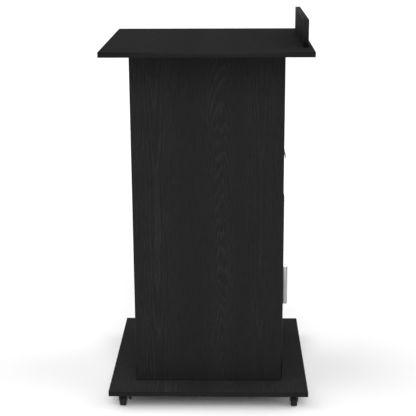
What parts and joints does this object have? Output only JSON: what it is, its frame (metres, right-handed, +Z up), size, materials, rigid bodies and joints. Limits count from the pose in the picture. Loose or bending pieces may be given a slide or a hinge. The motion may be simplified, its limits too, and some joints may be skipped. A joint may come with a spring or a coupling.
{
  "type": "rolling pedestal cabinet",
  "caption": "Tall black oak-grain cabinet with a square overhanging top, a raised lip, an open compartment, a drawer, a hinged door and a square base on castors.",
  "frame": {"origin": "on the floor, under the middle of the square base board", "axes": "+Z up; the door and the drawer face -Y; the left side panel is on -X"},
  "size_m": [0.6, 0.6, 1.156],
  "materials": {
    "black_oak_board": "black laminated board with a fine pressed oak grain",
    "drawer_board": "black melamine-faced board",
    "satin_metal": "satin nickel-coloured",
    "zinc_steel": "bright zinc plated",
    "black_plastic": "moulded, fine texture",
    "black_rubber": "matt"
  },
  "bodies": {
    "cabinet": {"base_board": "black_oak_board", "top_board": "black_oak_board", "upstand_board": "black_oak_board", "side_panel_left": "black_oak_board", "side_panel_right": "black_oak_board", "back_panel": "black_oak_board", "drawer_divider": "black_oak_board", "compartment_floor": "black_oak_board", "inner_shelf": "black_oak_board", "shelf_pin_front_left": "zinc_steel", "shelf_pin_back_left": "zinc_steel", "shelf_pin_front_right": "zinc_steel", "shelf_pin_back_right": "zinc_steel", "hinge_frame_leaf_upper": "zinc_steel", "hinge_frame_leaf_lower": "zinc_steel", "hinge_pin_upper": "zinc_steel", "hinge_pin_lower": "zinc_steel", "door_catch": "black_plastic", "runner_outer_left": "zinc_steel", "runner_outer_right": "zinc_steel", "caster_plate_front_left": "black_plastic", "caster_plate_front_right": "black_plastic", "caster_plate_back_left": "black_plastic", "caster_plate_back_right": "black_plastic", "caster_kingpin_front_left": "zinc_steel", "caster_kingpin_front_right": "zinc_steel", "caster_kingpin_back_left": "zinc_steel", "caster_kingpin_back_right": "zinc_steel"},
    "door": {"door_panel": "black_oak_board", "door_pull": "satin_metal", "hinge_door_leaf_upper": "zinc_steel", "hinge_door_leaf_lower": "zinc_steel", "catch_plate": "zinc_steel"},
    "drawer": {"drawer_front": "black_oak_board", "drawer_side_left": "drawer_board", "drawer_side_right": "drawer_board", "drawer_back": "drawer_board", "drawer_bottom": "drawer_board", "drawer_pull": "satin_metal", "runner_inner_left": "zinc_steel", "runner_inner_right": "zinc_steel"},
    "caster_fork_front_left": {"caster_fork_front_left": "black_plastic", "caster_axle_front_left": "zinc_steel"},
    "caster_wheel_front_left": {"caster_wheel_front_left": "black_plastic", "caster_tyre_front_left": "black_rubber"},
    "caster_fork_front_right": {"caster_fork_front_right": "black_plastic", "caster_axle_front_right": "zinc_steel"},
    "caster_wheel_front_right": {"caster_wheel_front_right": "black_plastic", "caster_tyre_front_right": "black_rubber"},
    "caster_fork_back_left": {"caster_fork_back_left": "black_plastic", "caster_axle_back_left": "zinc_steel"},
    "caster_wheel_back_left": {"caster_wheel_back_left": "black_plastic", "caster_tyre_back_left": "black_rubber"},
    "caster_brake_back_left": {"caster_brake_back_left": "black_plastic"},
    "caster_fork_back_right": {"caster_fork_back_right": "black_plastic", "caster_axle_back_right": "zinc_steel"},
    "caster_wheel_back_right": {"caster_wheel_back_right": "black_plastic", "caster_tyre_back_right": "black_rubber"},
    "caster_brake_back_right": {"caster_brake_back_right": "black_plastic"}
  },
  "joints": [
    {"name": "door_hinge", "type": "hinge", "parent": "cabinet", "child": "door", "pos_m": [0.2005, -0.2282, 0.3525], "axis": [0, 0, 1], "range_deg": [0, 170]},
    {"name": "drawer_slide", "type": "slide", "parent": "cabinet", "child": "drawer", "axis": [0, -1, 0], "range_m": [0, 0.29]},
    {"name": "swivel_front_left", "type": "hinge", "parent": "cabinet", "child": "caster_fork_front_left", "pos_m": [-0.255, -0.26, 0.04], "axis": [0, 0, 1], "continuous": true},
    {"name": "wheel_front_left", "type": "hinge", "parent": "caster_fork_front_left", "child": "caster_wheel_front_left", "pos_m": [-0.263, -0.26, 0.0175], "axis": [0, 1, 0], "continuous": true},
    {"name": "swivel_front_right", "type": "hinge", "parent": "cabinet", "child": "caster_fork_front_right", "pos_m": [0.255, -0.26, 0.04], "axis": [0, 0, 1], "continuous": true},
    {"name": "wheel_front_right", "type": "hinge", "parent": "caster_fork_front_right", "child": "caster_wheel_front_right", "pos_m": [0.247, -0.26, 0.0175], "axis": [0, 1, 0], "continuous": true},
    {"name": "swivel_back_left", "type": "hinge", "parent": "cabinet", "child": "caster_fork_back_left", "pos_m": [-0.255, 0.26, 0.04], "axis": [0, 0, 1], "continuous": true},
    {"name": "wheel_back_left", "type": "hinge", "parent": "caster_fork_back_left", "child": "caster_wheel_back_left", "pos_m": [-0.263, 0.26, 0.0175], "axis": [0, 1, 0], "continuous": true},
    {"name": "brake_back_left", "type": "hinge", "parent": "caster_fork_back_left", "child": "caster_brake_back_left", "pos_m": [-0.255, 0.2443, 0.0404], "axis": [-1, 0, 0], "range_deg": [0, 20]},
    {"name": "swivel_back_right", "type": "hinge", "parent": "cabinet", "child": "caster_fork_back_right", "pos_m": [0.255, 0.26, 0.04], "axis": [0, 0, 1], "continuous": true},
    {"name": "wheel_back_right", "type": "hinge", "parent": "caster_fork_back_right", "child": "caster_wheel_back_right", "pos_m": [0.247, 0.26, 0.0175], "axis": [0, 1, 0], "continuous": true},
    {"name": "brake_back_right", "type": "hinge", "parent": "caster_fork_back_right", "child": "caster_brake_back_right", "pos_m": [0.255, 0.2443, 0.0404], "axis": [-1, 0, 0], "range_deg": [0, 20]}
  ]
}
